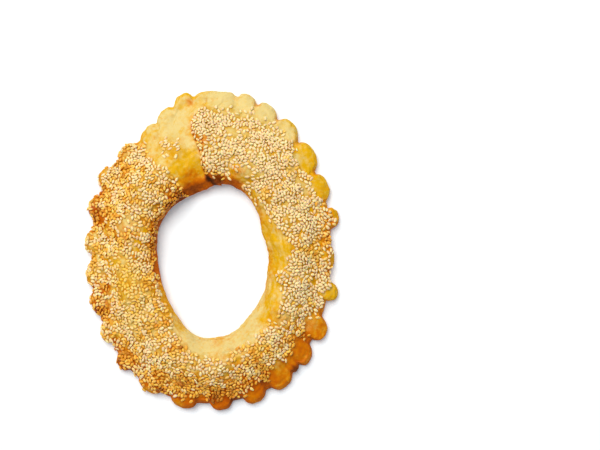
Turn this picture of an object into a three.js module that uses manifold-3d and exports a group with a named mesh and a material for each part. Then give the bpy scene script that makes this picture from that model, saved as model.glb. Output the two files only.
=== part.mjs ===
// A simit: a large oval ring of folded bread dough, baked flat on a tray. The fold makes the high inner roll,
// the sealed edge outside is snipped into blunt teeth, and one end of the strip lies as a rounded tongue over
// the other. Sesame seeds stick to the top. Millimetres and degrees, +Z up, the flat underside on z = 0.
import * as THREE from "three";
import Module from "manifold-3d";

// ---- The ring seen from above: radii from its middle, anticlockwise from +X ----

// The hole's edge, every 20 degrees. The oval is longer along Y.
const holeRadii = [
  38.3, 37.1, 40.3, 44.6, 46.3, 41.4, 40.4, 40.2, 39.0, 37.8, 37.9, 42.0, 48.6, 57.9, 58.0, 50.6, 44.2, 39.8,
];

// The floor of the gaps between the teeth, every 20 degrees.
const rimRadii = [
  80.2, 83.2, 89.1, 98.9, 107.4, 106.8, 92.8, 90.1, 85.8, 83.2, 86.2, 91.1, 99.3, 102.9, 101.7, 98.9, 89.4, 83.3,
];

// The teeth that the snips leave: [from angle, to angle, how far the tooth stands out of the floor].
const teeth = [
  [10.3, 20.5, 6.6], [23.8, 36.8, 4.7], [38.2, 51.8, 5.5], [52.5, 63.5, 4.8], [64.2, 73.3, 4.0],
  [73.9, 81.5, 3.2], [82.5, 89.5, 1.5], [90.4, 97.8, 1.1], [98.6, 105.8, 4.0], [106.5, 113.7, 2.5],
  [114.6, 123.4, 2.6], [125.3, 135.7, 3.3], [140.3, 150.5, 5.0], [153.8, 165, 4.5], [170, 181, 4.3],
  [184.5, 196.7, 3.3], [197.9, 210, 2.9], [213, 222, 4.4], [227.2, 235, 4.4], [239.8, 249.8, 3.4],
  [254, 264.3, 4.4], [269, 278, 4.8], [281.8, 291.3, 4.9], [293.5, 304, 4.7], [307.3, 316.5, 5.6],
  [318.3, 329.5, 6.8], [336.5, 346, 6.5], [351, 3, 2.2],
];
const toothBluntness = 2.8; // 2 is a rounded tooth, more has a flatter end and steeper sides
const teethFrom = 0.62; // the share of the width from which the teeth take over from the smooth rim
const creaseDepth = 0.1; // how far the gaps between teeth sink, as a share of the height at the rim

// ---- The section across the dough: inner roll, shallow groove, thin sealed edge ----

const crownHeight = 24; // the roll's highest line above the tray
// Height of the top as a share of the crown, by the distance out from the hole as a share of the width.
const topProfile = [
  [-0.1, 0.5], [0, 0.56], [0.08, 0.73], [0.2, 0.92], [0.36, 1.0], [0.5, 0.94], [0.62, 0.78],
  [0.72, 0.61], [0.82, 0.5], [0.92, 0.43], [1.0, 0.37], [1.1, 0.29], [1.2, 0.25],
];
// Uneven rise of the dough: [share of the height, waves round the ring, start in degrees, turn across the width].
const riseWaves = [[0.035, 3, 40, 0], [0.025, 7, 0, 150], [0.018, 17, 0, 320]];
const blister = { deg: 70.5, share: 0.17, radius: 7, rise: 2 }; // a bubble baked into the tongue near the hole
// The closed section, from the underside's inner corner round the outside: [share of the width, of the height].
const sectionKnots = [
  [0.1, 0], [0.955, 0], [0.985, 0.14], [1.0, 0.42], [0.985, 0.78], [0.945, 1], [0.87, 1], [0.78, 1], [0.69, 1],
  [0.59, 1], [0.48, 1], [0.37, 1], [0.26, 1], [0.16, 1], [0.08, 0.97], [0.025, 0.83], [0, 0.52], [0.025, 0.18],
];
const stationsInTooth = [-1, -0.78, -0.4, 0.4, 0.78, 1]; // where sections stand across a tooth, edge to edge
const closestStations = 0.9; // sections of neighbouring teeth that are nearer than this, in degrees, become one

// ---- The join: the strip's end lies over its beginning ----

const joinDeg = 92.5; // the ring's angle at the join
// The tongue's rounded edge from the hole to the rim: [share of the width, degrees past the join].
const tongueKnots = [[0, -5.5], [0.1, 0.6], [0.21, 2.4], [0.34, 2.4], [0.6, 6], [0.69, 6.5], [0.76, 4.9], [0.86, -1], [1, -1]];
const tongueSpread = 28; // the sections lean to follow the tongue this far each side, in degrees
const tongueFades = [0.84, 0.98]; // shares of the width over which its step sinks into the rim
const pressedShare = 0.76; // height of the dough pressed under the tongue, beside the full height
const pressedFrom = 2; // degrees past the join over which it keeps that height
const pressedTo = 34; // and from here on it is at its full height
// The tongue's end in section: [millimetres past the join at the middle of the width, share of the step's height].
const lipKnots = [[-7, 1.03], [-3.2, 0.98], [-1.0, 0.84], [0.5, 0.55], [0.4, 0.22], [-0.4, -0.04]];
const firstAfterLip = 1.6; // millimetres past the join, where the dough below comes out

// ---- Sesame ----

const seedLength = 3.0;
const seedWidth = 1.8;
const seedRise = 0.85; // how far a seed's back stands above the dough
const seedSunk = 0.1; // how far its edge is baked in
const seedCount = 215;
const seedSpacing = 6.3; // closest that two seeds lie
const seedTries = 20000;
const seedNumber = 11; // starts the random draws

const smoothStep = (from, to, x) => THREE.MathUtils.smoothstep(x, from, to);
const turned = (deg) => THREE.MathUtils.euclideanModulo(deg, 360);
const sine = (deg) => Math.sin(THREE.MathUtils.degToRad(deg));
const cosine = (deg) => Math.cos(THREE.MathUtils.degToRad(deg));

// A smooth closed curve through values evenly spaced round the ring.
function aroundRing(values, deg) {
  const at = (turned(deg) / 360) * values.length;
  const i = Math.floor(at);
  const f = at - i;
  const [a, b, c, d] = [-1, 0, 1, 2].map((k) => values[(i + k + values.length) % values.length]);
  return b + 0.5 * f * (c - a + f * (2 * a - 5 * b + 4 * c - d + f * (3 * (b - c) + d - a)));
}

// Straight steps between [x, y] knots.
function alongKnots(knots, x) {
  const i = Math.min(Math.max(knots.findIndex((k) => k[0] > x), 1), knots.length - 1);
  const [[x0, y0], [x1, y1]] = [knots[i - 1], knots[i]];
  return THREE.MathUtils.lerp(y0, y1, THREE.MathUtils.clamp((x - x0) / (x1 - x0), 0, 1));
}

// The angle at x across a tooth, where its two edges are at -1 and 1, and x at an angle.
const angleInTooth = ([from, to], x) => from + ((1 + x) * turned(to - from)) / 2;
const placeInTooth = ([from, to], deg) => (2 * (turned(deg - from + 90) - 90)) / turned(to - from) - 1;

// How far the snipped edge stands out of the floor of its gaps, and the same as a share of that tooth's reach.
function toothAt(deg) {
  for (const tooth of teeth) {
    const share = 1 - Math.pow(Math.abs(placeInTooth(tooth, deg)), toothBluntness);
    if (share > 0) return { reach: share * tooth[2], share };
  }
  return { reach: 0, share: 0 };
}

// Distance from the ring's middle at a share of the width. The teeth show only in its outer part, and are those
// at toothDeg, because they lean with the dough near the join.
function radiusAt(deg, share, toothDeg = deg) {
  const inner = aroundRing(holeRadii, deg);
  const rim = aroundRing(rimRadii, deg) + toothAt(toothDeg).reach * smoothStep(teethFrom, 0.93, share);
  return THREE.MathUtils.lerp(inner, rim, share);
}

function rise(deg, share) {
  const waves = riseWaves.map(([size, count, start, turn]) => size * sine(count * deg + start + turn * share));
  return waves.reduce((sum, wave) => sum + wave, 1);
}

// How far the blister lifts the crust.
function blisterRise(deg, radius) {
  const middle = radiusAt(blister.deg, blister.share);
  const along = THREE.MathUtils.degToRad(turned(deg - blister.deg + 180) - 180) * middle;
  return blister.rise * Math.exp(-((Math.hypot(along, radius - middle) / blister.radius) ** 3));
}

// Height of the top, where the strip is at its full height.
function fullHeight(deg, share, toothDeg) {
  const inner = aroundRing(holeRadii, deg);
  const radius = radiusAt(deg, share, toothDeg);
  const across = (radius - inner) / (aroundRing(rimRadii, deg) - inner);
  const crease = 1 - creaseDepth * (1 - toothAt(toothDeg).share) * smoothStep(0.7, 1, share);
  return crownHeight * alongKnots(topProfile, across) * rise(deg, share) * crease + blisterRise(deg, radius);
}

// Degrees that the tongue's edge runs past the join, by the share of the width.
const tongueEdge = (share) => alongKnots(tongueKnots, share);

// The angle of a point on the section that stands at rimDeg on the rim, leaning with the tongue near the join.
function leaningDeg(rimDeg, share) {
  const fromJoin = Math.abs(THREE.MathUtils.euclideanModulo(rimDeg - joinDeg + 180, 360) - 180);
  const lean = fromJoin < tongueSpread ? cosine((fromJoin / tongueSpread) * 90) ** 2 : 0;
  return rimDeg + lean * tongueEdge(share);
}

// Height factor of the dough that the tongue presses down, by degrees past the join and share of the width.
function pressed(pastJoin, share) {
  const lowest = THREE.MathUtils.lerp(pressedShare, 1, smoothStep(tongueFades[0], tongueFades[1], share));
  return THREE.MathUtils.lerp(lowest, 1, smoothStep(pressedFrom, pressedTo, pastJoin));
}

// The angle of a length along the ring at the join, at the middle of the width.
const alongJoin = (mm) => THREE.MathUtils.radToDeg(mm / radiusAt(joinDeg, 0.5));

// A point of the surface at pastJoin degrees (0 to 360) beyond the join. On the lip, a lip knot moves it along the
// strip and sets its height between the pressed dough and the tongue's top.
function surfacePoint(pastJoin, [share, level], lip) {
  const rimDeg = joinDeg + pastJoin;
  const deg = leaningDeg(rimDeg, share);
  const radius = radiusAt(deg, share, rimDeg);
  const full = fullHeight(deg, share, rimDeg);
  const low = full * pressed(lip ? 0 : pastJoin, share);
  const height = lip ? low + (full - low) * lip[1] : low;
  const moved = lip ? alongJoin(lip[0]) * level : 0;
  return new THREE.Vector3(radius * cosine(deg + moved), radius * sine(deg + moved), height * level);
}

// The sections from the join round to the join, as functions of a section knot.
function stations() {
  const first = alongJoin(firstAfterLip);
  const last = 360 + alongJoin(lipKnots[0][0]);
  const [afterLip, beforeLip] = [first + closestStations, last - closestStations];
  const rimDegs = teeth
    .flatMap((tooth) => stationsInTooth.map((x) => angleInTooth(tooth, x)))
    .map((deg) => turned(deg - joinDeg))
    .filter((deg) => deg > afterLip && deg < beforeLip)
    .sort((a, b) => a - b);
  const spaced = rimDegs.filter((deg, i) => i === 0 || deg - rimDegs[i - 1] > closestStations);
  return [
    ...[first, ...spaced].map((deg) => (knot) => surfacePoint(deg, knot)),
    ...lipKnots.map((lip) => (knot) => surfacePoint(0, knot, lip)),
  ];
}

// The ring as one closed grid: sections all the way round, joined to the next and the last to the first.
function ringGeometry() {
  const sections = stations();
  const wide = sectionKnots.length;
  const positions = sections.flatMap((at) => sectionKnots.flatMap((knot) => at(knot).toArray()));
  const corner = (i, j) => (i % sections.length) * wide + (j % wide);
  const faces = [];
  sections.forEach((_, i) => {
    sectionKnots.forEach((_, j) => {
      const [a, b, c, d] = [corner(i, j), corner(i + 1, j), corner(i + 1, j + 1), corner(i, j + 1)];
      faces.push(a, b, c, a, c, d);
    });
  });
  const geometry = new THREE.BufferGeometry();
  geometry.setAttribute("position", new THREE.Float32BufferAttribute(positions, 3));
  geometry.setIndex(faces);
  return geometry;
}

// Where the crust is bare of seeds: along the hole and along the teeth, as shares of the width every 20 degrees,
// and on the stretch that was pressed flat before the tongue went over it.
const innerBareShares = [
  0.2, 0.16, 0.12, 0.1, 0.28, 0.12, 0.05, 0.05, 0.04, 0.04, 0.05, 0.07, 0.12, 0.24, 0.28, 0.32, 0.34, 0.26,
];
const outerBareShares = [
  0.05, 0.16, 0.24, 0.16, 0.2, 0.12, 0.03, 0.02, 0.02, 0.02, 0.02, 0.02, 0.03, 0.12, 0.12, 0.26, 0.24, 0.16,
];
const pressedBare = { toInner: 20, toOuter: 32 }; // degrees past the tongue's edge
const clearOfLip = 2.6; // degrees that the seeds keep from the tongue's edge

function seeded(deg, share) {
  const pastJoin = turned(deg - joinDeg - tongueEdge(share));
  if (pastJoin < clearOfLip || pastJoin > 360 - clearOfLip) return false;
  const onPressed = pastJoin < THREE.MathUtils.lerp(pressedBare.toInner, pressedBare.toOuter, share);
  return !onPressed && share > aroundRing(innerBareShares, deg) && share < 1 - aroundRing(outerBareShares, deg);
}

// Repeatable random numbers from 0 to 1.
function randomNumbers(start) {
  let state = start;
  return () => {
    state = (Math.imul(state, 1664525) + 1013904223) >>> 0;
    return state / 4294967296;
  };
}

// Places for the seeds, evenly over the seeded part of the ring: drawn from above and dropped onto it.
function seedSpots(ringShape) {
  const random = randomNumbers(seedNumber);
  const target = new THREE.Mesh(ringShape, new THREE.MeshBasicMaterial());
  const drop = new THREE.Raycaster();
  const down = new THREE.Vector3(0, 0, -1);
  const widest = Math.max(...rimRadii);
  const found = [];
  for (let tries = 0; tries < seedTries && found.length < seedCount; tries++) {
    const [x, y, turn] = [widest * (2 * random() - 1), widest * (2 * random() - 1), 2 * Math.PI * random()];
    const deg = THREE.MathUtils.radToDeg(Math.atan2(y, x));
    const inner = aroundRing(holeRadii, deg);
    const share = (Math.hypot(x, y) - inner) / (radiusAt(deg, 1) - inner);
    if (!seeded(deg, share)) continue;
    if (found.some((f) => Math.hypot(f.point.x - x, f.point.y - y) < seedSpacing)) continue;
    drop.set(new THREE.Vector3(x, y, 2 * crownHeight), down);
    const [hit] = drop.intersectObject(target);
    if (hit) found.push({ point: hit.point, normal: hit.face.normal, turn });
  }
  return found;
}

// One sesame seed lying on the surface at a spot: a flat drop with a short ridge along its back, its point sunk.
function seedGeometry({ point, normal, turn }) {
  const outline = [[0.5, 0], [0.12, 0.5], [-0.3, 0.42], [-0.5, 0], [-0.3, -0.42], [0.12, -0.5]];
  const edge = outline.map(([x, y]) => [x, y, -seedSunk]);
  const corners = [...edge, [0.15, 0, seedRise], [-0.25, 0, seedRise], [0, 0, -seedRise]];
  const [front, back, foot] = [6, 7, 8];
  const over = [
    [0, 1, front], [1, back, front], [1, 2, back], [2, 3, back],
    [3, 4, back], [4, 5, back], [5, front, back], [5, 0, front],
  ];
  const under = outline.map((_, i) => [(i + 1) % outline.length, i, foot]);
  const geometry = new THREE.BufferGeometry();
  geometry.setAttribute("position", new THREE.Float32BufferAttribute(corners.flat(), 3));
  geometry.setIndex([...over, ...under].flat());
  geometry.scale(seedLength, seedWidth, 1);
  geometry.rotateZ(turn);
  geometry.applyQuaternion(new THREE.Quaternion().setFromUnitVectors(new THREE.Vector3(0, 0, 1), normal));
  geometry.translate(...point.toArray());
  return geometry;
}

const wasm = await Module();
wasm.setup();

function toSolid(geometry) {
  const vertProperties = new Float32Array(geometry.getAttribute("position").array);
  const triVerts = new Uint32Array(geometry.getIndex().array);
  return new wasm.Manifold(new wasm.Mesh({ numProp: 3, vertProperties, triVerts }));
}

function toGeometry(solid) {
  const { vertProperties, triVerts } = solid.getMesh();
  const geometry = new THREE.BufferGeometry();
  geometry.setAttribute("position", new THREE.Float32BufferAttribute(vertProperties, 3));
  geometry.setIndex(new THREE.Uint32BufferAttribute(triVerts, 1));
  return geometry;
}

// ---- The bread with its seeds, as one solid, its middle over the origin ----

const ringShape = ringGeometry();
const ring = toSolid(ringShape);
const seeds = seedSpots(ringShape).map((spot) => toSolid(seedGeometry(spot)));
const bread = toGeometry(seeds.reduce((solid, seed) => solid.add(seed), ring));
bread.computeBoundingBox();
const middle = bread.boundingBox.getCenter(new THREE.Vector3());
bread.translate(-middle.x, -middle.y, -bread.boundingBox.min.z);

const crust = new THREE.MeshStandardMaterial({ color: "#dfb24a", roughness: 0.5, metalness: 0 });
const simit = new THREE.Mesh(bread, crust);
simit.name = "simit";

const group = new THREE.Group();
group.add(simit);

export default group;
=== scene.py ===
import math

import bpy
import numpy as np
from mathutils import Matrix, Vector, noise
from mathutils.bvhtree import BVHTree
from mathutils.kdtree import KDTree


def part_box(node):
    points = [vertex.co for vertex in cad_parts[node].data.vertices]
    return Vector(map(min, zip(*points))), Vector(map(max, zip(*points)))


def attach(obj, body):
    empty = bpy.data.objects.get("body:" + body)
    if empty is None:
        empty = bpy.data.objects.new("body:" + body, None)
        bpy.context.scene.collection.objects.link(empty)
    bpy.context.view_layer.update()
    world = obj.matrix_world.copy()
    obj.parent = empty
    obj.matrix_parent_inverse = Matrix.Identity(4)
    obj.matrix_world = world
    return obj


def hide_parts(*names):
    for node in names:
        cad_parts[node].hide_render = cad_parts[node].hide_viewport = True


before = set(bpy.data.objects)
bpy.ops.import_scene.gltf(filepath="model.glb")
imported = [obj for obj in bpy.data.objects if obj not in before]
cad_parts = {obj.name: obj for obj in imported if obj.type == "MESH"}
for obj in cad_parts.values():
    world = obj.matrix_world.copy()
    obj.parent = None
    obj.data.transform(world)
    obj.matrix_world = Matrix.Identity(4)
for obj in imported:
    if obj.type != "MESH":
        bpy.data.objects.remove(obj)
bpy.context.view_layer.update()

# A simit: a ring of dough with a snipped edge, one end lapped over the other, under sesame seeds.
# Sizes are in millimetres and angles in degrees, anticlockwise from +X. Meshes turn them to metres.
mm = 0.001
cadBox = np.array(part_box("simit")) / mm
print("stage: frame loaded")


# What the shapes share

def smoothStep(low, high, x):  # 0 at low and 1 at high, whichever of the two is larger
    x = np.clip((x - low) / (high - low), 0, 1)
    return x * x * (3 - 2 * x)


def grows(row, x):  # the row: how much it comes to, the x where it starts and the x where it is all there
    most, low, high = row
    return most * smoothStep(low, high, x)


def bell(row, x):  # 1 in the middle and next to nothing two widths away; the row: middle, width
    middle, width = row
    return np.exp(-((x - middle) / width) ** 2)


def sine(deg):
    return np.sin(np.radians(deg))


def cosine(deg):
    return np.cos(np.radians(deg))


def unit(vectors):
    return vectors / np.maximum(np.linalg.norm(vectors, axis=-1, keepdims=True), 1e-9)


def turnFrom(start, deg):  # degrees from start, -180 to 180
    return np.mod(deg - start + 180, 360) - 180


def between(a, b, c, d, f):  # a Catmull-Rom curve on its way from b to c
    return b + 0.5 * f * (c - a + f * (2 * a - 5 * b + 4 * c - d + f * (3 * (b - c) + d - a)))


def aroundRing(values, deg):  # smooth closed curve through values evenly spaced round the ring
    values = np.array(values)
    at = np.mod(deg, 360) / 360 * len(values)
    i = np.floor(at).astype(int)
    a, b, c, d = [values[(i + k) % len(values)] for k in (-1, 0, 1, 2)]
    return between(a, b, c, d, at - i)


def throughKnots(knots, steps):  # smooth open curve through knots, with this many steps in each gap
    knots = np.array(knots, float)
    padded = np.vstack([2 * knots[0] - knots[1], knots, 2 * knots[-1] - knots[-2]])
    points = [between(*padded[i:i + 4], k / count) for i, count in enumerate(steps) for k in range(count)]
    return np.array(points + [knots[-1]])


def roundedKnots(knots, x, soft=0.035, samples=5):  # straight from knot to knot, with the corners rounded
    places, values = np.array(knots).T
    return sum(np.interp(x + s, places, values) for s in np.linspace(-soft, soft, samples)) / samples


def noiseAt(points, size, octaves, start):  # soft noise of about -1 to 1 with lumps of this size
    shift = Vector((start, 0.7 * start, -start))
    flat = np.asarray(points).reshape(-1, 3) / size
    values = [noise.fractal(Vector(p) + shift, 1.0, 2.0, octaves) for p in flat.tolist()]
    return np.array(values).reshape(np.shape(points)[:-1])


def lumps(points, rows):  # noises added up; a row: strength, size, octaves, where the noise starts
    return sum(strength * noiseAt(points, *kind) for strength, *kind in rows)


def makeMesh(name, points, faces, smooth=True):
    mesh = bpy.data.meshes.new(name)
    mesh.from_pydata((points * mm).tolist(), [], faces.tolist())
    mesh.polygons.foreach_set("use_smooth", [smooth] * len(mesh.polygons))
    piece = bpy.data.objects.new(name, mesh)
    bpy.context.scene.collection.objects.link(piece)
    return piece


def addValues(piece, name, values):  # one number a point, for the material to read
    layer = piece.data.attributes.new(name, "FLOAT", "POINT")
    layer.data.foreach_set("value", np.asarray(values, float).ravel())


def addMap(piece, corners):  # where each face corner lies on a flat map, which a bake keeps
    layer = piece.data.uv_layers.new(name="OFBake")
    layer.data.foreach_set("uv", np.asarray(corners, float).ravel())


# The ring of dough, by the same rules as its solid. "Share" is the share of the ring's width, 0 at the hole
# and 1 at the rim, and "level" is the share of its height.

dough = {
    "hole": [38.3, 37.1, 40.3, 44.6, 46.3, 41.4, 40.4, 40.2, 39.0,
             37.8, 37.9, 42.0, 48.6, 57.9, 58.0, 50.6, 44.2, 39.8],  # radius of the hole, every 20 degrees
    "rim": [80.2, 83.2, 89.1, 98.9, 107.4, 106.8, 92.8, 90.1, 85.8,
            83.2, 86.2, 91.1, 99.3, 102.9, 101.7, 98.9, 89.4, 83.3],  # between the teeth, the same way
    "width": 48,  # about, for patterns that run along the ring
    "teeth": [
        [10.3, 20.5, 6.6], [23.8, 36.8, 4.7], [38.2, 51.8, 5.5], [52.5, 63.5, 4.8], [64.2, 73.3, 4],
        [73.9, 81.5, 3.2], [82.5, 89.5, 1.5], [90.4, 97.8, 1.1], [98.6, 105.8, 4], [106.5, 113.7, 2.5],
        [114.6, 123.4, 2.6], [125.3, 135.7, 3.3], [140.3, 150.5, 5], [153.8, 165, 4.5], [170, 181, 4.3],
        [184.5, 196.7, 3.3], [197.9, 210, 2.9], [213, 222, 4.4], [227.2, 235, 4.4], [239.8, 249.8, 3.4],
        [254, 264.3, 4.4], [269, 278, 4.8], [281.8, 291.3, 4.9], [293.5, 304, 4.7], [303.4, 307.8, 2.2],
        [307.3, 316.5, 5.6], [318.3, 329.5, 6.8], [336.5, 346, 6.5], [351, 3, 2.2],
    ],  # from angle, to angle, how far it stands out
    "toothBluntness": 2.8,
    "teethFrom": [0.62, 0.93],  # shares of the width over which the teeth come out of the rim
    "grooves": [0.1, 0.7, 1],  # how much lower the crust is between two teeth, and from where to where
    "crown": 24,
    "topProfile": [
        [-0.1, 0.5], [0, 0.56], [0.08, 0.73], [0.2, 0.92], [0.36, 1.0], [0.5, 0.94], [0.62, 0.78],
        [0.72, 0.61], [0.82, 0.5], [0.92, 0.43], [1.0, 0.37], [1.1, 0.29], [1.2, 0.25],
    ],  # share of the width between hole and rim, share of the crown
    "riseWaves": [[0.035, 3, 40, 0], [0.025, 7, 0, 150], [0.018, 17, 0, 320]],  # size, how many, start, turn
    "blister": [70.5, 0.17, 7, 2],  # angle, share of the width, radius, rise
    "section": [
        [0.955, 0], [0.985, 0.14], [1.0, 0.42], [0.985, 0.78], [0.945, 1], [0.87, 1], [0.78, 1], [0.69, 1],
        [0.59, 1], [0.48, 1], [0.37, 1], [0.26, 1], [0.16, 1], [0.08, 0.97], [0.025, 0.83], [0, 0.52],
        [0.025, 0.18], [0.1, 0],
    ],  # share of the width and of the height, from the outer foot over the top to the inner foot
    "sectionSteps": [3, 5, 6, 5, 6, 8, 8, 8, 8, 8, 8, 8, 8, 7, 6, 6, 4],
    "undersideSteps": 11,
    "stationsRound": 780,
    "joinDeg": 92.5,
    "tongueKnots": [[0, -5.5], [0.1, 0.6], [0.21, 2.4], [0.34, 2.4], [0.6, 6], [0.69, 6.5], [0.76, 4.9],
                    [0.86, -1], [1, -1]],  # share of the width, degrees past the join
    "tongueSpread": 28,  # degrees to each side over which the stations lean with the tongue's edge
    "tongueFades": [0.84, 0.98],  # shares of the width over which its step sinks into the rim
    "pressed": [0.76, 2, 34],  # height share at the tongue, degrees past it where it starts and ends to rise
    "lip": [[-7, 1.03], [-3.2, 0.98], [-1.0, 0.84], [0.5, 0.55], [0.4, 0.22], [-0.4, -0.04], [1.6, 0.0]],
    "lipSteps": [4, 4, 4, 4, 3, 3],  # a knot of the lip: place along the ring, share of its step
    "creaseFades": 0.9,  # degrees from the lip
    "creaseUnder": [0.75, 0.1],  # shares of the lip's step over which the crease under it sets in
    "creaseEnds": [0.94, 0.84],  # shares of the width
    "creaseFoot": [0, 0.3],  # levels
    "lipEdge": [-0.8, 1.6],  # middle and width of the lip's edge
    "lipEnds": [0.95, 0.75],  # shares of the width
}


def toothAt(deg):  # how much of a tooth stands at this angle, 0 to 1, and how far it stands out
    share, reach = np.zeros_like(deg), np.zeros_like(deg)
    for first, last, out in dough["teeth"]:
        past = np.mod(deg - first + 90, 360) - 90
        place = 2 * past / ((last - first) % 360) - 1  # -1 to 1 from side to side
        here = np.clip(1 - np.abs(place) ** dough["toothBluntness"], 0, 1)
        share, reach = np.maximum(share, here), np.maximum(reach, here * out)
    return share, reach


def radiusAt(deg, share, toothDeg):
    inner = aroundRing(dough["hole"], deg)
    rim = aroundRing(dough["rim"], deg) + toothAt(toothDeg)[1] * smoothStep(*dough["teethFrom"], share)
    return inner + (rim - inner) * share


def radiusOf(deg, share):  # the same for one place
    return radiusAt(np.array([deg]), share, np.array([deg]))[0]


def blisterRise(deg, radius):
    at, share, size, rise = dough["blister"]
    middle = radiusOf(at, share)
    along = np.radians(turnFrom(at, deg)) * middle
    return rise * np.exp(-(np.hypot(along, radius - middle) / size) ** 3)


def fullHeight(deg, share, toothDeg):
    inner = aroundRing(dough["hole"], deg)
    radius = radiusAt(deg, share, toothDeg)
    across = (radius - inner) / (aroundRing(dough["rim"], deg) - inner)
    groove = 1 - grows(dough["grooves"], share) * (1 - toothAt(toothDeg)[0])
    rise = 1 + sum(size * sine(count * deg + start + turn * share)
                   for size, count, start, turn in dough["riseWaves"])
    dome = dough["crown"] * roundedKnots(dough["topProfile"], across)
    return dome * rise * groove + blisterRise(deg, radius)


def tongueEdge(share):  # degrees that the lapped end runs past the join
    return roundedKnots(dough["tongueKnots"], share)


def leaningDeg(rimDeg, share):  # the stations near the join lean so that they run along the tongue's edge
    fromJoin = np.abs(turnFrom(dough["joinDeg"], rimDeg))
    lean = np.where(fromJoin < dough["tongueSpread"], cosine(fromJoin / dough["tongueSpread"] * 90) ** 2, 0)
    return rimDeg + lean * tongueEdge(share)


def sectionPoints():  # share and level of each point round the section, over the top and back underneath
    over = throughKnots(dough["section"], dough["sectionSteps"])
    under = np.linspace(over[-1, 0], over[0, 0], dough["undersideSteps"] + 1)[1:-1]
    share, level = np.vstack([over, np.stack([under, 0 * under], 1)]).T
    return share, np.clip(level, 0, 1)


def doughGrid():  # stations round the ring by points round the section, with what is known of each point
    share, level = sectionPoints()
    lip = throughKnots(dough["lip"], dough["lipSteps"])[:-1]
    middle = radiusOf(dough["joinDeg"], 0.5)
    start, end = dough["lip"][0][0], dough["lip"][-1][0]  # of the lip, along the ring
    first, last = np.degrees(end / middle), 360 + np.degrees(start / middle)
    openRing = np.linspace(first, last, dough["stationsRound"])[:-1]
    past = np.concatenate([openRing, 0 * lip[:, 0]])[:, None]  # degrees past the join, 0 along the lip
    moved = np.concatenate([0 * openRing, lip[:, 0]])[:, None]
    step = np.concatenate([0 * openRing, lip[:, 1]])[:, None]
    spread = np.linspace(start, end, len(lip) + 1)[:-1]
    beneath = np.concatenate([0 * openRing, spread])[:, None]  # the underside runs on evenly below the lip
    rimDeg = dough["joinDeg"] + past + 0 * share
    share, level = share + 0 * rimDeg, level + 0 * rimDeg
    deg = leaningDeg(rimDeg, share)
    radius = radiusAt(deg, share, rimDeg)
    full = fullHeight(deg, share, rimDeg)
    pressed, starts, risen = dough["pressed"]
    pressed = pressed + (1 - pressed) * smoothStep(*dough["tongueFades"], share)
    height = full * (pressed + (1 - pressed) * smoothStep(starts, risen, past))
    height = (height + (full - height) * step) * level
    deg = deg + np.degrees((moved * level + beneath * (1 - level)) / middle)
    crease = smoothStep(*dough["creaseUnder"], step)
    crease = np.where(past > 0, np.exp(-past / dough["creaseFades"]), crease)
    crease = crease * smoothStep(*dough["creaseEnds"], share) * smoothStep(*dough["creaseFoot"], level)
    lipEdge = bell(dough["lipEdge"], moved) * smoothStep(*dough["lipEnds"], share)
    lipEdge = lipEdge * (past == 0) * (level > 0)
    points = np.stack([radius * cosine(deg), radius * sine(deg), height], -1)
    return {"points": points, "deg": deg, "share": share, "level": level, "tooth": toothAt(rimDeg)[0],
            "crease": crease, "lipEdge": lipEdge}


def gridNormals(points):
    along = np.roll(points, -1, 0) - np.roll(points, 1, 0)
    across = np.roll(points, -1, 1) - np.roll(points, 1, 1)
    return unit(np.cross(along, across))


def gridFaces(rows, columns):
    i, j = np.meshgrid(np.arange(rows), np.arange(columns), indexing="ij")
    nextI, nextJ = (i + 1) % rows, (j + 1) % columns
    corners = [i * columns + j, nextI * columns + j, nextI * columns + nextJ, i * columns + nextJ]
    return np.stack(corners, -1).reshape(-1, 4)


def gridMap(rows, columns, margin=0.004):  # two long strips, one above the other, of half the ring each
    i, j = np.meshgrid(np.arange(rows), np.arange(columns), indexing="ij")
    half = (rows + 1) // 2
    corners = []
    for di, dj in ((0, 0), (1, 0), (1, 1), (0, 1)):
        u = margin + (1 - 2 * margin) * (i % half + di) / half
        v = 0.5 * (i // half) + margin + (0.5 - 2 * margin) * (j + dj) / columns
        corners.append(np.stack([u, v], -1))
    return np.stack(corners, 2)


def spots(grid, rows):  # soft round spots: angle, share of the width, radius in millimetres, strength
    total = np.zeros_like(grid["deg"])
    for deg, share, size, strength in rows:
        out = radiusOf(deg, share)
        x, y = grid["points"][..., 0] - out * cosine(deg), grid["points"][..., 1] - out * sine(deg)
        total = np.maximum(total, strength * np.exp(-((x ** 2 + y ** 2) / size ** 2) ** 1.5))
    return total


def stretched(grid, radius):  # places on a narrower ring, so that noise is drawn out along the crust
    across = grid["share"] * dough["width"]
    return np.stack([radius * cosine(grid["deg"]), radius * sine(grid["deg"]), across], -1)


# Where the seeds lie

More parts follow.
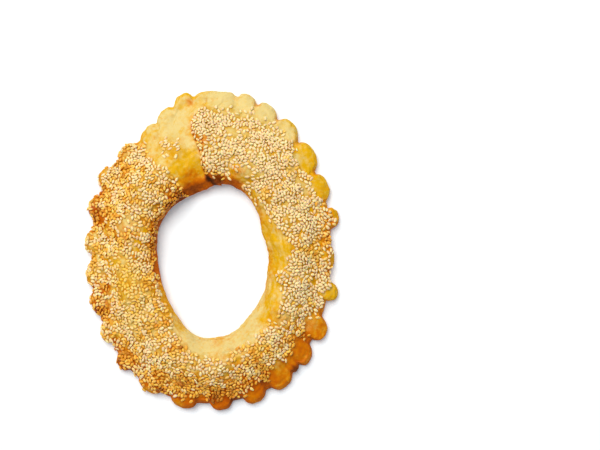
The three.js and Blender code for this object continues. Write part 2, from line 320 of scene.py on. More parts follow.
topping = {
    "innerBare": [0.37, 0.22, 0.12, 0.06, 0.08, 0.12, 0.04, 0.02, 0.02,
                  0.02, 0.03, 0.07, 0.12, 0.24, 0.28, 0.32, 0.36, 0.28],  # share, every 20 degrees
    "outerBare": [0.05, 0.14, 0.24, 0.18, 0.22, 0.13, 0.03, 0.02, 0.02,
                  0.02, 0.02, 0.02, 0.03, 0.12, 0.16, 0.26, 0.24, 0.12],  # at the middle of a tooth
    "betweenTeeth": 0.5,  # and between two, as a share of that
    "innerEdge": [-0.06, 0.05],  # shares of the width over which the seeds set in
    "outerEdge": [-0.05, 0.04],
    "ragged": [[0.05, 6, 3, 9.0]],  # how these edges wander
    "pressedBare": [25, 22, 23.5, 27, 35],  # degrees past the tongue where seeds start again, hole to rim
    "pressedEdge": [-2.0, 1.5],
    "pressedRagged": 40,  # degrees for each share of the width that the other edges wander
    "patches": [[1.3, 4, 1, 3.0], [0.8, 9, 1, 5.0]],  # thicker and thinner seeds
    "thinnest": 0.08,  # what is left in the thinnest patches
    "strays": [[107, 0.45, 4, 0.25], [111, 0.58, 8, 0.5], [115, 0.68, 4, 0.3]],
    "bareSpots": [
        [69.5, 0.14, 8, 0.97], [77, 0.56, 3.5, 0.5], [80, 0.57, 4, 0.7], [159, 0.37, 5, 0.6],
        [166, 0.5, 4.5, 0.6], [186, 0.63, 5, 0.55], [192, 0.6, 4, 0.4], [199, 0.45, 5, 0.3],
        [272, 0.42, 4, 0.6], [278, 0.3, 5, 0.8], [285, 0.38, 5, 0.7], [310, 0.34, 6, 0.7],
    ],
    "crowded": [[95, 0.72, 14, 0.2]],  # where the seeds lie thick and are paler
    "crowding": 4,
    "innerWall": [0.45, 0.95],  # levels over which the seeds set in on the wall of the hole
    "outerWall": 0.6,  # level below which the outer wall has none
    "creaseBare": 0.5,  # how far into the crease under the lip no seed lies
}


def seedCover(grid):  # how thickly the seeds lie, 0 to 1
    points, deg, share, level = grid["points"], grid["deg"], grid["share"], grid["level"]
    ragged = lumps(points, topping["ragged"])
    innerBare = aroundRing(topping["innerBare"], deg)
    outerBare = aroundRing(topping["outerBare"], deg)
    outerBare = outerBare * (topping["betweenTeeth"] + (1 - topping["betweenTeeth"]) * grid["tooth"])
    cover = smoothStep(*topping["innerEdge"], share - innerBare + ragged)
    cover = cover * smoothStep(*topping["outerEdge"], 1 - outerBare - share + ragged)
    pastEdge = np.mod(deg - dough["joinDeg"] - tongueEdge(share), 360)
    bareTo = np.interp(share, np.linspace(0, 1, len(topping["pressedBare"])), topping["pressedBare"])
    pastBare = pastEdge - bareTo + topping["pressedRagged"] * ragged
    cover = cover * smoothStep(*topping["pressedEdge"], pastBare)
    patchy = 1 + lumps(points, topping["patches"]) + topping["crowding"] * spots(grid, topping["crowded"])
    cover = cover * np.clip(patchy, topping["thinnest"], 1) * (1 - spots(grid, topping["bareSpots"]))
    cover = np.maximum(cover, spots(grid, topping["strays"]))
    wall = np.where(share < 0.5, smoothStep(*topping["innerWall"], level), level > topping["outerWall"])
    return cover * wall * (grid["crease"] < topping["creaseBare"])


# How the crust swells and wrinkles

relief = {
    # noise on the crust: height where it is bare, height under seeds, size, octaves, where the noise starts
    "swells": [1.6, 1.6, 19, 2, 0.0],
    "bulges": [0.5, 1.1, 7.5, 2, 4.0],
    "rimBulges": [0.7, 0.7, 3.6, 2, 33.0],
    "holeBulges": [0.5, 0.5, 3.2, 2, 35.0],
    "grain": [0.2, 0.2, 2.4, 2, 7.0],
    "wrinkles": [0.55, 0.1, 2.6, 2, 2.0],
    "stretch": 15,  # radius of the ring that draws out the wrinkles and the cracks
    "rimFrom": [0.8, 0.96],  # shares of the width
    "holeFrom": [0.12, 0.0],
    "flatterRim": 0.8,  # share of the swells that it loses
    "notches": 0.8,  # depth between two teeth
    "cracks": [7.5, 1, 15.0],  # size, octaves and start, as above
    "crackWidth": 0.05,  # how far from 0 the noise is at its sides
    "crackDepth": 0.3,
    "crackPlaces": [16, 1, 21.0],  # noise that says where they are
    "crackedFrom": [0.0, 0.35],
    "bumps": [[69.5, 0.15, 6.5, 1.26], [156, 0.37, 3.5, 0.7], [325, 0.2, 3.5, 0.7]],
    "seam": [0.45, 0.12],  # level and width of the line round the outer wall
    "seamFrom": 0.9,
    "seamDepth": 0.45,
    "seamBreaks": [6, 1, 30.0],
    "footFades": [0.0, 0.9],  # levels over which all this sets in, so that the foot stays flat
}


def crustRelief(grid):  # millimetres out along the crust
    points, share, level = grid["points"], grid["share"], grid["level"]
    strip = stretched(grid, relief["stretch"])

    def noisy(name, where=points):
        bare, seeded, *kind = relief[name]
        return (bare + (seeded - bare) * grid["cover"]) * noiseAt(where, *kind)

    rim = smoothStep(*relief["rimFrom"], share)
    out = noisy("swells") * (1 - relief["flatterRim"] * rim) + noisy("bulges") + noisy("grain")
    out += noisy("rimBulges") * rim + noisy("holeBulges") * smoothStep(*relief["holeFrom"], share)
    out += noisy("wrinkles", strip) - relief["notches"] * rim * (1 - grid["tooth"]) ** 2
    crack = np.clip(1 - np.abs(noiseAt(strip, *relief["cracks"])) / relief["crackWidth"], 0, 1)
    cracked = smoothStep(*relief["crackedFrom"], noiseAt(points, *relief["crackPlaces"]))
    out -= relief["crackDepth"] * crack * cracked
    out += spots(grid, relief["bumps"])
    seam = bell(relief["seam"], level) * (share > relief["seamFrom"])
    out -= relief["seamDepth"] * seam * (0.5 + noiseAt(points, *relief["seamBreaks"]))
    return out * smoothStep(*relief["footFades"], level)


# How brown the oven left it, with painted shade added as brown in the crease under the lip, along the lip's
# edge and on the wall of the hole

baking = {
    "even": 0.14,  # where nothing else makes it browner
    "clouds": [[0.1, 9, 2, 50.0], [0.07, 2.5, 2, 51.0]],
    "rimToast": [0.1, 0.04, -0.02, -0.06, -0.06, -0.04, 0.0, 0.04, 0.07,
                 -0.03, 0.08, 0.08, 0.1, 0.16, 0.22, 0.25, 0.24, 0.02],  # every 20 degrees
    "rimFrom": [0.62, 0.86],  # shares of the width
    "holeWallShade": [0.04, 0.04, 0.12, 0.2, 0.32, 0.36, 0.42, 0.42, 0.46,
                  0.4, 0.34, 0.14, 0.06, 0.0, 0.0, 0.0, 0.02, 0.05],  # the same way, along the hole: painted shade, darkest from the top round to the left, where the wall faces away from the lamp
    "holeFrom": [0.14, 0.04],
    "seedToast": [0.03, -0.05, -0.04, -0.1, -0.11, -0.06, 0.04, 0.07, 0.12,
                  0.06, 0.06, 0.05, 0.07, 0.1, 0.04, 0.04, -0.05, -0.15],  # of the seeds, over the crust's
    "underSeeds": 0.9,  # share of it that the crust under them has
    # browner spots; those on the wall of the hole and at the crease under the lip are painted shade
    "browningAndShadeSpots": [
        [15, 0.85, 6, 0.16], [71, 0.155, 4.5, 0.2], [72, 0, 6, 0.2], [86, 0.1, 6, 0.38],
        [86, 0.46, 4, 0.2], [93, 0.1, 2.5, 0.5], [93, 0.47, 4, 0.24], [98.9, 0.92, 3, 0.3],
        [106, 0.12, 9, 0.24], [122, 0.06, 8, 0.2], [125, 0.14, 8, 0.24], [162, 0.88, 7, 0.36],
        [166, 0.48, 3.5, 0.16], [168, 0.7, 8, 0.1], [171, 0.52, 9, 0.14], [198, 0.8, 5, 0.22],
        [207, 0.92, 7, 0.34], [232, 0.9, 9, 0.22], [245, 0.8, 10, 0.14], [256, 0.95, 10, 0.06],
        [262, 0.82, 14, 0.15], [275, 0.82, 14, 0.22], [288, 0.7, 12, 0.33], [301, 0.58, 3.5, 0.2],
        [305.5, 0.97, 3, 0.4], [309, 0.7, 9, 0.12], [312, 0.58, 16, 0.13],
    ],
    "spotsAtFoot": 0.25,  # share of them that is left there
    "spotsFrom": [0, 0.2],  # levels
    # what edges and low places add: how much, and the shares or heights where it starts and is all there
    "rimEdge": [0.05, 0.84, 1.02],
    "snips": [0.14, 0.84, 0.98],
    "foot": [0.12, 4, 1],
    "holeEdge": [0.04, 0.14, 0.0],
    # browning and painted shade low on the wall of the hole
    "holeFootBrownAndShade": [0.12, 8, 2],
    "paleEdges": [0.8, 50, 30],  # how much less of that the pressed end has, and degrees past the join
    "paleFrom": 92,
    # painted shade and browning in the crease under the lip, with more towards the hole
    "crease": 0.3,
    "creaseAtHole": [0.5, 0.8, 0.4],
    # browning and painted shade in a band along the lip's edge
    "lipEdge": [0.25, 0.8, 0.4],
    "underside": 0.25,
}


def howBrownAndShaded(grid):  # 0 pale to 1 dark brown, painted shade included
    points, deg, share, level = grid["points"], grid["deg"], grid["share"], grid["level"]
    height, upper = points[..., 2], level > 0
    baked = baking["even"] + lumps(points, baking["clouds"])
    baked += aroundRing(baking["rimToast"], deg) * smoothStep(*baking["rimFrom"], share)
    # painted shade on the wall of the hole
    baked += aroundRing(baking["holeWallShade"], deg) * smoothStep(*baking["holeFrom"], share) * upper
    edge = grows(baking["rimEdge"], share) + grows(baking["snips"], share) * (1 - grid["tooth"])
    edge += grows(baking["foot"], height) * upper + grows(baking["holeEdge"], share)
    # browning and painted shade low on the wall of the hole
    edge += grows(baking["holeFootBrownAndShade"], height) * upper * (share < 0.5)
    baked += edge * (1 - grows(baking["paleEdges"], np.abs(deg - baking["paleFrom"])))
    # painted shade and browning in the crease under the lip
    baked += (baking["crease"] + grows(baking["creaseAtHole"], share)) * grid["crease"]
    # browner spots, some of them painted shade
    least = baking["spotsAtFoot"]
    shown = least + (1 - least) * smoothStep(*baking["spotsFrom"], level)
    baked += spots(grid, baking["browningAndShadeSpots"]) * shown
    baked += baking["underSeeds"] * aroundRing(baking["seedToast"], deg) * grid["cover"]
    # browner underside, and browning and painted shade along the lip's edge
    baked += baking["underside"] * (level == 0) + grows(baking["lipEdge"], share) * grid["lipEdge"]
    return np.clip(baked, 0, 1)


# How yellow the egg wash left it, with painted shade and painted sheen in it

washing = {
    "even": 0.26,
    "steepWashAndShade": [0.7, 0.02, 0.45],  # how much more golden steep crust is, from thicker wash and as painted shade, and the slopes where that sets in
    "clouds": [[0.6, 9, 3, 60.0]],
    # streaks drawn along the ring, more golden in some places and paler in others; the paler ones are
    # painted sheen
    "washStreaksAndSheen": [[0.4, 3.6, 2, 61.0]],
    "stretch": 18,  # radius of the ring that draws out these streaks
    "rimGold": [0.9, 1.2, 1.1, -0.3, -0.6, 0.15, 0.1, 0.2, 0.3,
                0.2, 0.3, 0.3, 0.4, 0.7, 0.9, 1.0, 1.0, 0.9],  # every 20 degrees
    "rimFrom": [0.7, 0.92],  # shares of the width
    "holeGoldShadeAndSheen": [0.1, 0.0, 0.0, 0.0, 0.0, 0.0, 0.0, 0.1, 0.3,
                 0.6, 0.5, 0.1, 0.0, -0.3, -0.45, -0.45, -0.4, -0.2],  # the same way, along the hole: more golden on the left, where the wall faces away from the lamp, as painted shade, and paler on the lower right, where it faces the lamp, as painted sheen
    "holeFrom": [0.26, 0.1],
    "goldSpots": [
        [2, 0.3, 9, 0.6], [8, 0.25, 9, 0.5], [8, 0.55, 12, 0.4], [20, 0.2, 9, 0.4], [73, 0.2, 6, 0.6],
        [104, 0.1, 14, 0.5], [104, 0.19, 13, 1.1], [112, 0.3, 7, 0.4], [113, 0.5, 8, 0.35],
        [117, 0.7, 9, 0.2], [176, 0.25, 8, 0.4], [182, 0.2, 11, 0.6], [187, 0.63, 7, 0.6],
        [204, 0.4, 10, 0.5], [285, 0.38, 7, 0.6], [295, 0.9, 22, 0.6], [302, 0.68, 12, 0.3],
        [310, 0.3, 6, 0.8], [320, 0.3, 8, 0.5], [325, 0.22, 5, 0.6], [330, 0.3, 7, 0.5],
        [330, 0.92, 9, 0.4], [341, 1, 6, 0.8], [343, 0.2, 7, 0.7], [350, 0.1, 8, 0.8],
    ],
    # paler spots; the wide one on the top rim is painted sheen
    "paleAndSheenSpots": [
        [0, 0.11, 7, 0.35], [33, 0.85, 6, 0.3], [66, 0.25, 4, 0.5], [67, 0.22, 4.5, 0.8],
        [80, 0.95, 16, 0.9], [102, 0.5, 5, 0.6], [110, 0.85, 12, 0.4], [159, 0.37, 5, 0.7],
        [262, 0.12, 10, 0.8], [268, 0.12, 9, 0.8], [278, 0.3, 6, 0.7], [283, 0.16, 8, 0.6],
    ],
    "brushed": [0.5, 0.1],  # slopes between which the brush starts to reach the crust and reaches all of it
}


def howGolden(grid, slope):  # 0 pale to 1 golden
    deg, share = grid["deg"], grid["share"]
    # more golden on steep crust: thicker wash and painted shade
    golden = washing["even"] + grows(washing["steepWashAndShade"], slope) + lumps(grid["points"], washing["clouds"])
    # streaks along the ring, partly painted sheen
    golden += lumps(stretched(grid, washing["stretch"]), washing["washStreaksAndSheen"])
    golden += aroundRing(washing["rimGold"], deg) * smoothStep(*washing["rimFrom"], share)
    # painted shade and painted sheen along the hole
    golden += aroundRing(washing["holeGoldShadeAndSheen"], deg) * smoothStep(*washing["holeFrom"], share)
    # golden spots, and paler ones, one of which is painted sheen
    golden += spots(grid, washing["goldSpots"]) - spots(grid, washing["paleAndSheenSpots"])
    return np.clip(golden, 0, 1)


def fitInBox(points):  # fills the CAD model's box, but for the last of its height, which the seeds take
    low, high = points.reshape(-1, 3).min(0), points.reshape(-1, 3).max(0)
    size = cadBox[1] - cadBox[0] - [0, 0, sesame["rise"]]
    return cadBox[0] + (points - low) * size / (high - low)


def buildDough():
    grid = doughGrid()
    grid["cover"] = seedCover(grid)
    grid["baked"] = howBrownAndShaded(grid)
    out = gridNormals(grid["points"]) * crustRelief(grid)[..., None]
    grid["points"] = fitInBox(grid["points"] + out)
    grid["normals"] = gridNormals(grid["points"])
    slope = 1 - np.abs(grid["normals"][..., 2])
    rows, columns = slope.shape
    piece = makeMesh("doughRing", grid["points"].reshape(-1, 3), gridFaces(rows, columns))
    addValues(piece, "baked", grid["baked"])
    addValues(piece, "golden", howGolden(grid, slope))
    addValues(piece, "seeded", grid["cover"])
    addValues(piece, "washed", smoothStep(*washing["brushed"], slope))
    addMap(piece, gridMap(rows, columns))
    return piece, grid


# Sesame

sesame = {
    "most": 4150,
    "length": 3.5,
    "width": 2.1,
    "thickness": 1.25,
    "rings": [[-0.31, 0.72], [0.06, 1.0], [0.36, 0.68]],  # place along the seed, share of the width
    "sides": 8,
    "rise": 1.2,  # how far the highest seeds stand above the dough
    "sunk": 0.24,  # how deep a seed sits in the egg wash
    "sunkVaries": 0.05,
    "glazed": [[187, 0.5, 9, 0.6], [194, 0.44, 10, 0.8], [202, 0.42, 10, 1], [210, 0.4, 9, 0.8],
               [222, 0.5, 9, 0.5]],  # where the egg wash covers the seeds
    "glazedSunk": 0.3,  # how much deeper they sit there
    "closest": 1.8,
    "tries": 90000,
    "thinnest": 0.03,  # cover below which no seed is tried
    "lie": 60,  # angle that seeds lie at on the whole
    "lieWanders": [[100, 26, 1, 80.0]],
    "lieVaries": 70,
    "tiltVaries": 14,
    "raisedTilt": 26,  # degrees for each millimetre that a seed is lifted
    "sizeVaries": 0.07,
    "sizeLimits": [0.84, 1.16],
    "settleSteps": 7,
    "give": 0.7,  # share of a push that a seed gives way to in a step
    "overlap": 0.12,  # share of the width that seeds may overlap without one lying on the other
    "lift": 1.1,  # thicknesses for an overlap of a whole width
    "highest": 0.7,  # how far a seed that lies on others is lifted
    "toastLike": [0.9, -0.16],  # share of the crust's browning and painted shade that seeds take on, and what is added to it
    "clumps": [[1, 3.8, 1, 70.0], [0.7, 11, 1, 71.0]],
    "clumpToast": 0.46,
    "toastVaries": 0.08,
    "mapMargin": 0.1,
    "draw": 5,  # which run of random numbers
}


def scatterSeeds(grid, draw):  # places on the crust, no two closer than a seed's width
    points, cover = grid["points"], grid["cover"]
    corner = [points, np.roll(points, -1, 0), np.roll(np.roll(points, -1, 0), -1, 1), np.roll(points, -1, 1)]
    area = 0.5 * np.linalg.norm(np.cross(corner[2] - corner[0], corner[3] - corner[1]), axis=-1)
    weight = (area * (cover > sesame["thinnest"])).ravel()
    cells = draw.choice(weight.size, sesame["tries"], p=weight / weight.sum())
    u, v = draw.random((2, sesame["tries"], 1))
    a, b, c, d = [p.reshape(-1, 3)[cells] for p in corner]
    places = (a * (1 - u) + b * u) * (1 - v) + (d * (1 - u) + c * u) * v
    near, kept, step = {}, [], sesame["closest"]
    for index, place in enumerate(places.tolist()):
        key = tuple(int(x // step) for x in place)
        around = [q for x in (-1, 0, 1) for y in (-1, 0, 1) for z in (-1, 0, 1)
                  for q in near.get((key[0] + x, key[1] + y, key[2] + z), ())]
        if any(sum((m - n) ** 2 for m, n in zip(q, place)) < step ** 2 for q in around):
            continue
        near.setdefault(key, []).append(place)
        kept.append(index)
    kept = np.array(kept)
    kept = kept[draw.random(len(kept)) < cover.ravel()[cells[kept]]][:sesame["most"]]
    return places[kept], cells[kept]


def seedContacts(places, ways):  # pairs of near seeds, with how far their three discs overlap and which way
    offsets = np.array([-0.5, 0.0, 0.5]) * (sesame["length"] - sesame["width"])
    neighbours = KDTree(len(places))
    for index, place in enumerate(places.tolist()):
        neighbours.insert(place, index)
    neighbours.balance()
    pairs = [(index, other) for index, place in enumerate(places.tolist())
             for _, other, _ in neighbours.find_range(place, sesame["length"]) if other > index]
    one, two = np.array(pairs).T
    contacts = []
    for first in offsets:
        for second in offsets:
            apart = places[one] + ways[one] * first - places[two] - ways[two] * second
            gap = np.linalg.norm(apart, axis=1)
            contacts.append([apart / np.maximum(gap, 1e-6)[:, None], np.clip(sesame["width"] - gap, 0, None),
                             first, second])
    return one, two, contacts


def alongCrust(ways, normals):
    return unit(ways - normals * np.sum(ways * normals, axis=1, keepdims=True))


def settleSeeds(places, ways, crust):  # seeds that overlap push each other aside and turn side by side
    reach = sesame["length"] - sesame["width"]
    for _ in range(sesame["settleSteps"]):
        one, two, contacts = seedContacts(places, ways)
        push, turn, touching = np.zeros_like(places), np.zeros_like(places), np.ones(len(places))
        for away, over, first, second in contacts:
            shift = away * over[:, None] / 2
            np.add.at(push, one, shift)
            np.add.at(push, two, -shift)
            np.add.at(turn, one, shift * first)
            np.add.at(turn, two, -shift * second)
            np.add.at(touching, one, over > 0)
            np.add.at(touching, two, over > 0)
        places = places + sesame["give"] * push / touching[:, None]
        ways = ways + turn / reach ** 2
        found = [crust.find_nearest(place) for place in places.tolist()]
        places, normals = np.array([tuple(f[0]) for f in found]), np.array([tuple(f[1]) for f in found])
        ways = alongCrust(ways, normals)
    return places, ways, normals


def stackSeeds(places, ways):  # a seed that still overlaps earlier ones lies on top of them
    one, two, contacts = seedContacts(places, ways)
    over = np.max([contact[1] for contact in contacts], axis=0) / sesame["width"]
    raised = np.zeros(len(places))
    for index in np.lexsort((one, two)):
        if over[index] > sesame["overlap"]:
            onTop = raised[one[index]] + sesame["lift"] * over[index] * sesame["thickness"]
            raised[two[index]] = max(raised[two[index]], onTop)
    return np.minimum(raised, sesame["highest"])


def seedShape():  # points and triangles of one seed, and where their corners lie on its square of the map
    sides, rings = sesame["sides"], sesame["rings"]
    turns = np.arange(sides) / sides * 2 * np.pi
    points = [[-0.5, 0, 0]]
    for x, wide in rings:
        points += [[x, 0.5 * wide * math.cos(t), 0.5 * wide * math.sin(t)] for t in turns]
    points = np.array(points + [[0.5, 0, 0]]) * [sesame["length"], sesame["width"], sesame["thickness"]]
    faces, corners = [], []
    for k in range(sides):
        n = (k + 1) % sides
        faces.append([0, 1 + n, 1 + k])
        corners.append([[k + 0.5, 0], [k + 1, 1], [k, 1]])
        for r in range(len(rings) - 1):
            low, high = 1 + r * sides, 1 + (r + 1) * sides
            faces += [[low + k, low + n, high + n], [low + k, high + n, high + k]]
            corners.append([[k, r + 1], [k + 1, r + 1], [k + 1, r + 2]])
            corners.append([[k, r + 1], [k + 1, r + 2], [k, r + 2]])
        faces.append([high + k, high + n, len(points) - 1])
        corners.append([[k, len(rings)], [k + 1, len(rings)], [k + 0.5, len(rings) + 1]])
    square = np.array(corners, float) / [sides, len(rings) + 1]
    return points, np.array(faces), square * (1 - 2 * sesame["mapMargin"]) + sesame["mapMargin"]


def laySeeds(places, cells, grid, draw):  # where each seed rests, its lift, axes, size and glaze
    count = len(places)
    crust = BVHTree.FromPolygons(grid["points"].reshape(-1, 3).tolist(),
                                 gridFaces(*grid["points"].shape[:2]).tolist())
    lie = sesame["lie"] + lumps(places, sesame["lieWanders"]) + draw.normal(0, sesame["lieVaries"], count)
    ways = alongCrust(np.stack([cosine(lie), sine(lie), 0 * lie], -1), grid["normals"].reshape(-1, 3)[cells])
    places, ways, normals = settleSeeds(places, ways, crust)
    raised = stackSeeds(places, ways)
    print("stage: seeds settled")
    glaze = spots(grid, sesame["glazed"]).ravel()[cells]
    lift = sesame["thickness"] / 2 - sesame["sunk"] + raised + draw.normal(0, sesame["sunkVaries"], count)
    lift -= sesame["glazedSunk"] * glaze
    tilt = draw.normal(0, sesame["tiltVaries"], (count, 2))
    tilt = np.tan(np.radians(tilt + raised[:, None] * draw.normal(0, sesame["raisedTilt"], (count, 2))))
    size = np.clip(draw.normal(1, sesame["sizeVaries"], (count, 1)), *sesame["sizeLimits"])
    along = unit(ways + normals * tilt[:, :1])
    up = unit(normals - ways * tilt[:, :1] + unit(np.cross(normals, ways)) * tilt[:, 1:])
    return places, normals * lift[:, None], (along, np.cross(up, along), up), size, glaze


def buildSeeds(grid):
    draw = np.random.default_rng(sesame["draw"])
    scattered, cells = scatterSeeds(grid, draw)
    count = len(cells)
    print("stage: seeds placed:", count)
    places, lift, axes, size, glaze = laySeeds(scattered, cells, grid, draw)
    shape, faces, square = seedShape()
    turned = sum(shape[None, :, k:k + 1] * axis[:, None] for k, axis in enumerate(axes))
    vertices = (places + lift)[:, None] + size[:, None] * turned
    outside = np.maximum(cadBox[0] - vertices.min(1), 0) - np.maximum(vertices.max(1) - cadBox[1], 0)
    vertices = vertices + outside[:, None]
    allFaces = faces[None] + np.arange(count)[:, None, None] * len(shape)
    piece = makeMesh("sesameSeeds", vertices.reshape(-1, 3), allFaces.reshape(-1, 3))
    share, added = sesame["toastLike"]
    # toasting, with the painted shade of the crust beneath
    toastAndShade = share * grid["baked"].ravel()[cells] + added + draw.normal(0, sesame["toastVaries"], count)
    toastAndShade += sesame["clumpToast"] * lumps(places, sesame["clumps"])
    toastAndShade += aroundRing(baking["seedToast"], grid["deg"].ravel()[cells])
    toastAndShade -= spots(grid, topping["crowded"]).ravel()[cells]
    for name, values in (("toastAndShade", np.clip(toastAndShade, 0, 1)), ("glaze", glaze), ("tone", draw.random(count))):
        addValues(piece, name, np.repeat(values, len(shape)))
    wide = math.ceil(math.sqrt(count))  # squares of the map in a row
    origin = np.stack([np.arange(count) % wide, np.arange(count) // wide], -1)
    addMap(piece, (origin[:, None, None] + square[None]) / wide)
    return piece


# Materials

def linear(code):  # sRGB hex to linear
    channels = [int(code[i:i + 2], 16) / 255 for i in (1, 3, 5)]
    return [c / 12.92 if c <= 0.04045 else ((c + 0.055) / 1.055) ** 2.4 for c in channels] + [1.0]


def startMaterial(name):
    material = bpy.data.materials.new(name)
    material.use_nodes = True
    material.node_tree.nodes.clear()
    return material, material.node_tree


def addNode(tree, kind, values=None, links=None, stops=None, **settings):
    node = tree.nodes.new(kind)
    for name, value in settings.items():
        setattr(node, name, value)
    for name, value in (values or {}).items():
        node.inputs[name].default_value = value
    for name, socket in (links or {}).items():
        tree.links.new(socket, node.inputs[name])
    if stops:
        ramp = node.color_ramp
        while len(ramp.elements) < len(stops):
            ramp.elements.new(0.5)
        for element, (place, code) in zip(ramp.elements, stops):
            element.position, element.color = place, linear(code)
    return node


crust = {
    "pale": "#E4CE88",
    "golden": "#E3B006",
    # painted shade between the seeds, multiplied into the crust's colour
    "seedGapShade": "#DEC10E",
    "shareOfSeedGapShade": 0.86,  # how much of that painted shade lies where the seeds are
    "browns": [[0.0, "#E5B420"], [0.3, "#E08900"], [0.55, "#C66200"], [0.8, "#803A08"], [1.0, "#43200B"]],
    "brownsFrom": [0.14, 0.42],  # how brown it is where they start to hide the wash's colour and hide it all
    "mottle": [2.2, 4.0],  # size in millimetres, detail
    "mottleBrowns": 0.35,  # how much the mottle shifts the browning
    "mottleGolds": 1.7,
    "mottleBump": [0.5, 0.3],  # strength, height
    "pores": [0.45, 2.0],  # real ones are finer still; they are drawn this coarse to show
    "poreBump": [0.25, 0.06],
    "noiseRoughness": 0.6,
    "roughness": [0.22, 0.48],  # from where the film is thickest to where it is thinnest
    "roughnessFrom": [0.35, 0.65],  # of the mottle
    "unwashed": 0.5,  # how much rougher the steep crust is, where the brush didn't reach
    "ior": 1.45,
    "gloss": 0.2,
    "washTint": "#FFEFC8",
    "scatter": 0.1,
    "scatterDepth": 1.5,
    "scatterColours": (1.0, 0.75, 0.3),
}


def crustMaterial():
    # Baked bread crust, brushed with egg before the oven: the wash dries to a thin satin film, yellow where
    # it lies thin and more golden where it lies thick, over skin that browns first at edges, folds and thin
    # dough. Painted shade darkens it between the seeds, in the crease under the lip and on the wall of the
    # hole, and painted sheen pales it in places.
    material, tree = startMaterial("eggWashedCrust")
    place = addNode(tree, "ShaderNodeTexCoord").outputs["Object"]
    baked, golden, seeded, washed = [addNode(tree, "ShaderNodeAttribute", attribute_name=name).outputs["Fac"]
                                     for name in ("baked", "golden", "seeded", "washed")]
    noises = []
    for size, detail in (crust["mottle"], crust["pores"]):
        values = {"Scale": 1 / (size * mm), "Detail": detail, "Roughness": crust["noiseRoughness"]}
        noises.append(addNode(tree, "ShaderNodeTexNoise", values, {"Vector": place}).outputs["Fac"])
    mottle, pores = noises
    shift = addNode(tree, "ShaderNodeMath", {1: 0.5}, {0: mottle}, operation="SUBTRACT").outputs[0]
    # the browning, with its painted shade, shifted by the mottle
    brownAndShade = addNode(tree, "ShaderNodeMath", {1: crust["mottleBrowns"]}, {0: shift, 2: baked},
                    operation="MULTIPLY_ADD").outputs[0]
    gold = addNode(tree, "ShaderNodeMath", {1: crust["mottleGolds"]}, {0: shift, 2: golden},
                   operation="MULTIPLY_ADD", use_clamp=True).outputs[0]
    wash = addNode(tree, "ShaderNodeMix", {6: linear(crust["pale"]), 7: linear(crust["golden"])}, {0: gold},
                   data_type="RGBA").outputs[2]
    brownedAndShaded = addNode(tree, "ShaderNodeValToRGB", None, {"Fac": brownAndShade}, crust["browns"]).outputs[0]
    low, high = crust["brownsFrom"]
    amount = addNode(tree, "ShaderNodeMapRange", {"From Min": low, "From Max": high},
                     {"Value": brownAndShade}).outputs[0]
    dry = addNode(tree, "ShaderNodeMix", None, {0: amount, 6: wash, 7: brownedAndShaded}, data_type="RGBA").outputs[2]
    # painted shade between the seeds
    seedGapShading = addNode(tree, "ShaderNodeMath", {1: crust["shareOfSeedGapShade"]}, {0: seeded},
                   operation="MULTIPLY").outputs[0]
    colour = addNode(tree, "ShaderNodeMix", {7: linear(crust["seedGapShade"])}, {0: seedGapShading, 6: dry},
                     data_type="RGBA", blend_type="MULTIPLY").outputs[2]
    (low, high), (satin, dull) = crust["roughnessFrom"], crust["roughness"]
    film = addNode(tree, "ShaderNodeMapRange",
                   {"From Min": low, "From Max": high, "To Min": satin, "To Max": dull},
                   {"Value": mottle}).outputs[0]
    matte = addNode(tree, "ShaderNodeMath", {1: -crust["unwashed"], 2: crust["unwashed"]}, {0: washed},
                    operation="MULTIPLY_ADD").outputs[0]
    rough = addNode(tree, "ShaderNodeMath", None, {0: film, 1: matte}, operation="ADD").outputs[0]
    strength, height = crust["poreBump"]
    fine = addNode(tree, "ShaderNodeBump", {"Strength": strength, "Distance": height * mm},
                   {"Height": pores})
    strength, height = crust["mottleBump"]
    bump = addNode(tree, "ShaderNodeBump", {"Strength": strength, "Distance": height * mm},
                   {"Height": mottle, "Normal": fine.outputs[0]})
    skin = addNode(tree, "ShaderNodeBsdfPrincipled",
                   {"IOR": crust["ior"], "Specular IOR Level": crust["gloss"],
                    "Specular Tint": linear(crust["washTint"]), "Subsurface Weight": crust["scatter"],
                    "Subsurface Radius": crust["scatterColours"],
                    "Subsurface Scale": crust["scatterDepth"] * mm},
                   {"Base Color": colour, "Roughness": rough, "Normal": bump.outputs[0]})
    addNode(tree, "ShaderNodeOutputMaterial", None, {"Surface": skin.outputs[0]})
    return material


seedSkin = {
    "toasts": [[0.0, "#FFE2AE"], [0.25, "#FFCC5C"], [0.45, "#F2B038"], [0.7, "#D0841A"], [1.0, "#8C4A12"]],
    "cloudSize": 1.1,
    "cloudDetail": 2.0,
    "cloudToast": 0.3,  # how much it shifts the toasting from end to end of its range
    "tones": [0.86, 1.08],  # darkest and lightest seeds
    "glazeColour": "#F2CC48",
    "glazeStrength": 0.7,
    "roughness": 0.42,
    "ior": 1.47,
    "gloss": 0.3,
    "scatter": 0.5,
    "scatterDepth": 0.8,
    "scatterColours": (1.0, 0.6, 0.2),
}


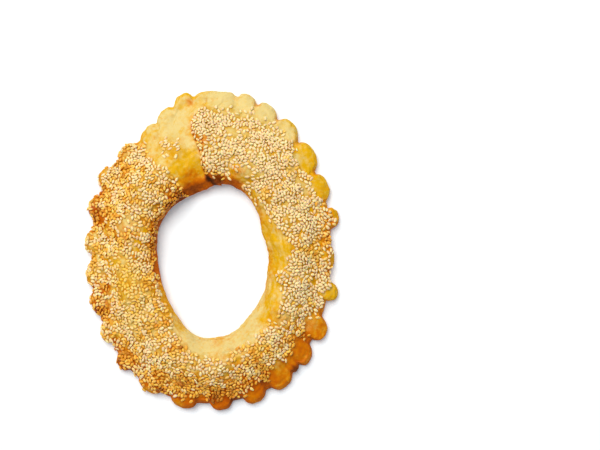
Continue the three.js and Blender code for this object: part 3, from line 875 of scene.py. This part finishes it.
def seedMaterial():
    # Hulled sesame, baked on: a dry, oily-satin skin that is ivory to cream, honey-coloured where the oven
    # reached it most, and a little see-through at its thin edges. It also takes on the crust's painted
    # shade.
    material, tree = startMaterial("hulledSesame")
    place = addNode(tree, "ShaderNodeTexCoord").outputs["Object"]
    toastAndShade, tone, glaze = [addNode(tree, "ShaderNodeAttribute", attribute_name=name).outputs["Fac"]
                          for name in ("toastAndShade", "tone", "glaze")]
    cloud = addNode(tree, "ShaderNodeTexNoise", {"Scale": 1 / (seedSkin["cloudSize"] * mm),
                                                 "Detail": seedSkin["cloudDetail"]}, {"Vector": place})
    shift = addNode(tree, "ShaderNodeMath", {1: seedSkin["cloudToast"], 2: -seedSkin["cloudToast"] / 2},
                    {0: cloud.outputs["Fac"]}, operation="MULTIPLY_ADD").outputs[0]
    shade = addNode(tree, "ShaderNodeMath", None, {0: toastAndShade, 1: shift}, operation="ADD").outputs[0]
    toastedAndShaded = addNode(tree, "ShaderNodeValToRGB", None, {"Fac": shade}, seedSkin["toasts"]).outputs[0]
    dark, light = seedSkin["tones"]
    value = addNode(tree, "ShaderNodeMapRange", {"To Min": dark, "To Max": light},
                    {"Value": tone}).outputs[0]
    varied = addNode(tree, "ShaderNodeHueSaturation", None, {"Color": toastedAndShaded, "Value": value}).outputs[0]
    film = addNode(tree, "ShaderNodeMath", {1: seedSkin["glazeStrength"]}, {0: glaze},
                   operation="MULTIPLY").outputs[0]
    colour = addNode(tree, "ShaderNodeMix", {7: linear(seedSkin["glazeColour"])}, {0: film, 6: varied},
                     data_type="RGBA").outputs[2]
    skin = addNode(tree, "ShaderNodeBsdfPrincipled",
                   {"Roughness": seedSkin["roughness"], "IOR": seedSkin["ior"],
                    "Specular IOR Level": seedSkin["gloss"], "Subsurface Weight": seedSkin["scatter"],
                    "Subsurface Radius": seedSkin["scatterColours"],
                    "Subsurface Scale": seedSkin["scatterDepth"] * mm},
                   {"Base Color": colour})
    addNode(tree, "ShaderNodeOutputMaterial", None, {"Surface": skin.outputs[0]})
    return material


# The board it lies on, the light and the camera

studio = {
    "floorSize": 6000,
    "floorDrop": 0.3,
    "floorColour": "#ECF3FD",
    "floorRoughness": 0.9,
    "floorGlow": 0.19,
    "floorGlowColour": "#E6F5FD",
    "skyStrength": 0.3,
    "skyColour": "#F2F6FF",
    "keyFrom": [-480, 980, 2570],
    "keySize": 1900,
    "keyPower": 80,
    "keyColour": "#FFF9EC",
    "picture": [600, 450],
    "pixel": 0.671,  # its width in millimetres at the simit
    "partCentre": [210.3, 248.8],  # the pixel that the middle of the simit falls on
    "lens": 85,
    "sensor": 36,
    "lean": [2.5, 4.0],  # degrees that the camera stands off the vertical, towards +X and towards -Y
    "aimHeight": 10,
}


def boardMaterial():
    # Board painted matt white and lit from beneath, so that shadows on it stay light.
    material, tree = startMaterial("paintedBoard")
    skin = addNode(tree, "ShaderNodeBsdfPrincipled",
                   {"Base Color": linear(studio["floorColour"]), "Roughness": studio["floorRoughness"],
                    "Emission Color": linear(studio["floorGlowColour"]),
                    "Emission Strength": studio["floorGlow"]})
    addNode(tree, "ShaderNodeOutputMaterial", None, {"Surface": skin.outputs[0]})
    return material


def buildStudio():
    corners = np.array([[-1, -1, 0], [1, -1, 0], [1, 1, 0], [-1, 1, 0]]) * studio["floorSize"] / 2
    floor = makeMesh("floor", corners - [0, 0, studio["floorDrop"]], np.array([[0, 1, 2, 3]]), False)
    floor.data.materials.append(boardMaterial())
    world = bpy.data.worlds.new("studio")
    world.use_nodes = True
    sky = world.node_tree.nodes["Background"].inputs
    sky["Color"].default_value = linear(studio["skyColour"])
    sky["Strength"].default_value = studio["skyStrength"]
    bpy.context.scene.world = world
    lamp = bpy.data.lights.new("key", "AREA")
    lamp.size, lamp.energy = studio["keySize"] * mm, studio["keyPower"]
    lamp.color = linear(studio["keyColour"])[:3]
    key = bpy.data.objects.new("key", lamp)
    key.location = Vector(studio["keyFrom"]) * mm
    key.rotation_euler = (-key.location).to_track_quat("-Z", "Y").to_euler()
    bpy.context.scene.collection.objects.link(key)


def buildCamera():
    wide, high = studio["picture"]
    x, y = studio["partCentre"]
    scale = studio["pixel"]
    aim = Vector(((wide / 2 - x) * scale, (y - high / 2) * scale, studio["aimHeight"]))
    distance = wide * scale * studio["lens"] / studio["sensor"]
    leanX, leanY = [math.tan(math.radians(lean)) for lean in studio["lean"]]
    back = Vector((leanX, -leanY, 1)).normalized()
    right = Vector((0, 1, 0)).cross(back).normalized()
    turn = Matrix((right, back.cross(right), back)).transposed().to_4x4()
    lens = bpy.data.cameras.new("camera")
    lens.lens, lens.sensor_width = studio["lens"], studio["sensor"]
    camera = bpy.data.objects.new("camera", lens)
    camera.matrix_world = Matrix.Translation((aim + back * distance) * mm) @ turn
    bpy.context.scene.collection.objects.link(camera)
    bpy.context.scene.camera = camera


ring, ringGrid = buildDough()
ring.data.materials.append(crustMaterial())
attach(ring, "root")
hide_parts("simit")
print("stage: dough ring built")

seeds = buildSeeds(ringGrid)
seeds.data.materials.append(seedMaterial())
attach(seeds, "root")
print("stage: seeds built")

buildStudio()
buildCamera()
bpy.context.scene.view_settings.view_transform = "Standard"
print("stage: studio built")
